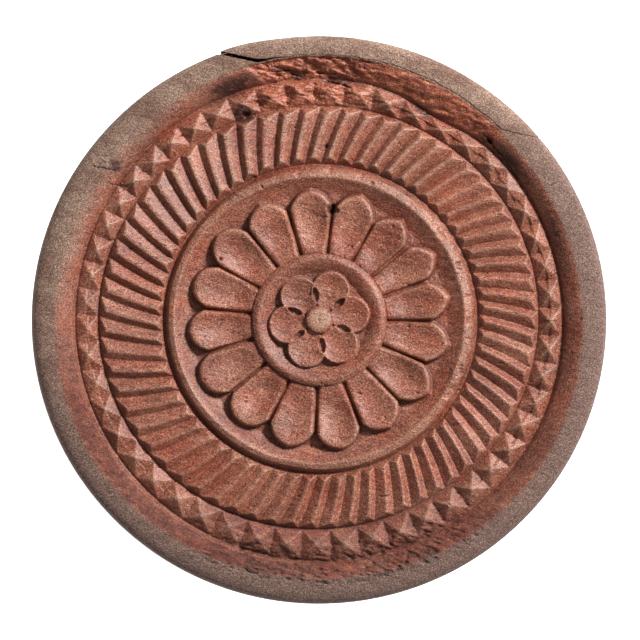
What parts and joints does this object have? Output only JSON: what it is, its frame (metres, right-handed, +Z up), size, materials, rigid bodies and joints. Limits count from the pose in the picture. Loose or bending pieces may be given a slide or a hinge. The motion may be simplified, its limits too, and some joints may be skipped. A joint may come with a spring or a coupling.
{
  "type": "butter print",
  "caption": "Hand-carved wooden butter print: a face-grain disc with a raised flower and carved borders, on a turned handle held by a cross peg.",
  "frame": {"origin": "middle of the flat end of the knob, which the print stands on", "axes": "+Z up, out of the carved face along the turning axis; +X along the grain of the disc; +Y towards the split strip of the rim"},
  "size_m": [0.12, 0.1186, 0.095],
  "materials": {
    "carved_wood": "dry bare wood, red-brown, worn pale on the high edges",
    "weathered_wood": "bare wood, greyed by handling and washing",
    "handle_wood": "turned wood, polished by the hand",
    "peg_wood": "whittled, unfinished"
  },
  "bodies": {
    "print": {"carved_block": "carved_wood", "rim_sliver": "weathered_wood", "handle": "handle_wood"},
    "peg": {"locking_peg": "peg_wood"}
  },
  "joints": [
    {"name": "peg_slide", "type": "slide", "parent": "print", "child": "peg", "axis": [1, 0, 0], "range_m": [0, 0.04]}
  ]
}
